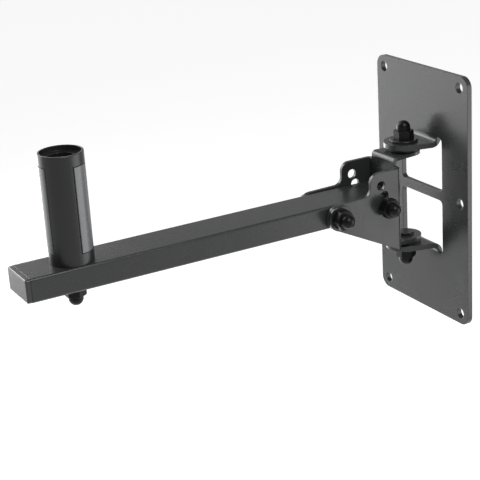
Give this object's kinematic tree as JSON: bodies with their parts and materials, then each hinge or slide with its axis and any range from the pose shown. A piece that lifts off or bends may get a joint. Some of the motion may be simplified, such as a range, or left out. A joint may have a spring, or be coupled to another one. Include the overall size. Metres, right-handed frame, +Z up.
{
  "type": "speaker wall bracket",
  "caption": "Black steel speaker wall bracket: a wall plate with folded ears, a swivelling yoke and a tilting rectangular arm with a round spigot that stands up for the speaker.",
  "frame": {"origin": "the middle of the wall plate's back face, on the wall", "axes": "+Y into the wall, so the arm points to -Y; +Z up, the way the spigot stands; +X to the right as one faces the wall"},
  "size_m": [0.126, 0.3719, 0.215],
  "materials": {
    "powder_coat": "semi-gloss black powder coat with a fine orange peel",
    "black_steel": "black plated steel, satin",
    "nut_cap": "glossy black moulded plastic",
    "nylon": "smooth black nylon",
    "plain_steel": "plain turned steel",
    "end_plug": "fine grained black plastic",
    "spigot_moulding": "smooth dark plastic moulding",
    "spigot_strip": "smooth black plastic with a soft gloss"
  },
  "bodies": {
    "wall": {"wall_plate": "powder_coat", "upper_swivel_bolt": "black_steel", "upper_friction_washer": "nylon", "upper_swivel_washer": "black_steel", "upper_swivel_nut": "black_steel", "upper_swivel_cap": "nut_cap", "lower_swivel_bolt": "black_steel", "lower_friction_washer": "nylon", "lower_swivel_washer": "black_steel", "lower_swivel_nut": "black_steel", "lower_swivel_cap": "nut_cap"},
    "swivel_yoke": {"yoke": "powder_coat", "pivot_bolt": "black_steel", "pivot_washer": "black_steel", "pivot_head_washer": "black_steel", "pivot_nut": "black_steel", "pivot_cap": "nut_cap", "pivot_spacer_1": "nylon", "pivot_spacer_2": "nylon"},
    "tilt_arm": {"arm_tube": "powder_coat", "index_bolt": "black_steel", "index_washer": "black_steel", "index_head_washer": "black_steel", "index_nut": "black_steel", "spigot_bolt": "black_steel", "spigot_head_washer": "black_steel", "spigot_washer": "black_steel", "spigot_nut": "black_steel", "index_cap": "nut_cap", "spigot_cap": "nut_cap", "pivot_sleeve": "plain_steel", "index_sleeve": "plain_steel", "end_plug": "end_plug", "spigot_body": "spigot_moulding", "spigot_strip_1": "spigot_strip", "spigot_strip_2": "spigot_strip", "spigot_strip_3": "spigot_strip"}
  },
  "joints": [
    {"name": "swivel", "type": "hinge", "parent": "wall", "child": "swivel_yoke", "pos_m": [0, -0.0225, 0], "axis": [0, 0, 1], "range_deg": [-68, 57]},
    {"name": "tilt", "type": "hinge", "parent": "swivel_yoke", "child": "tilt_arm", "pos_m": [0, -0.1035, 0.0017], "axis": [1, 0, 0], "range_deg": [0, 24]}
  ]
}
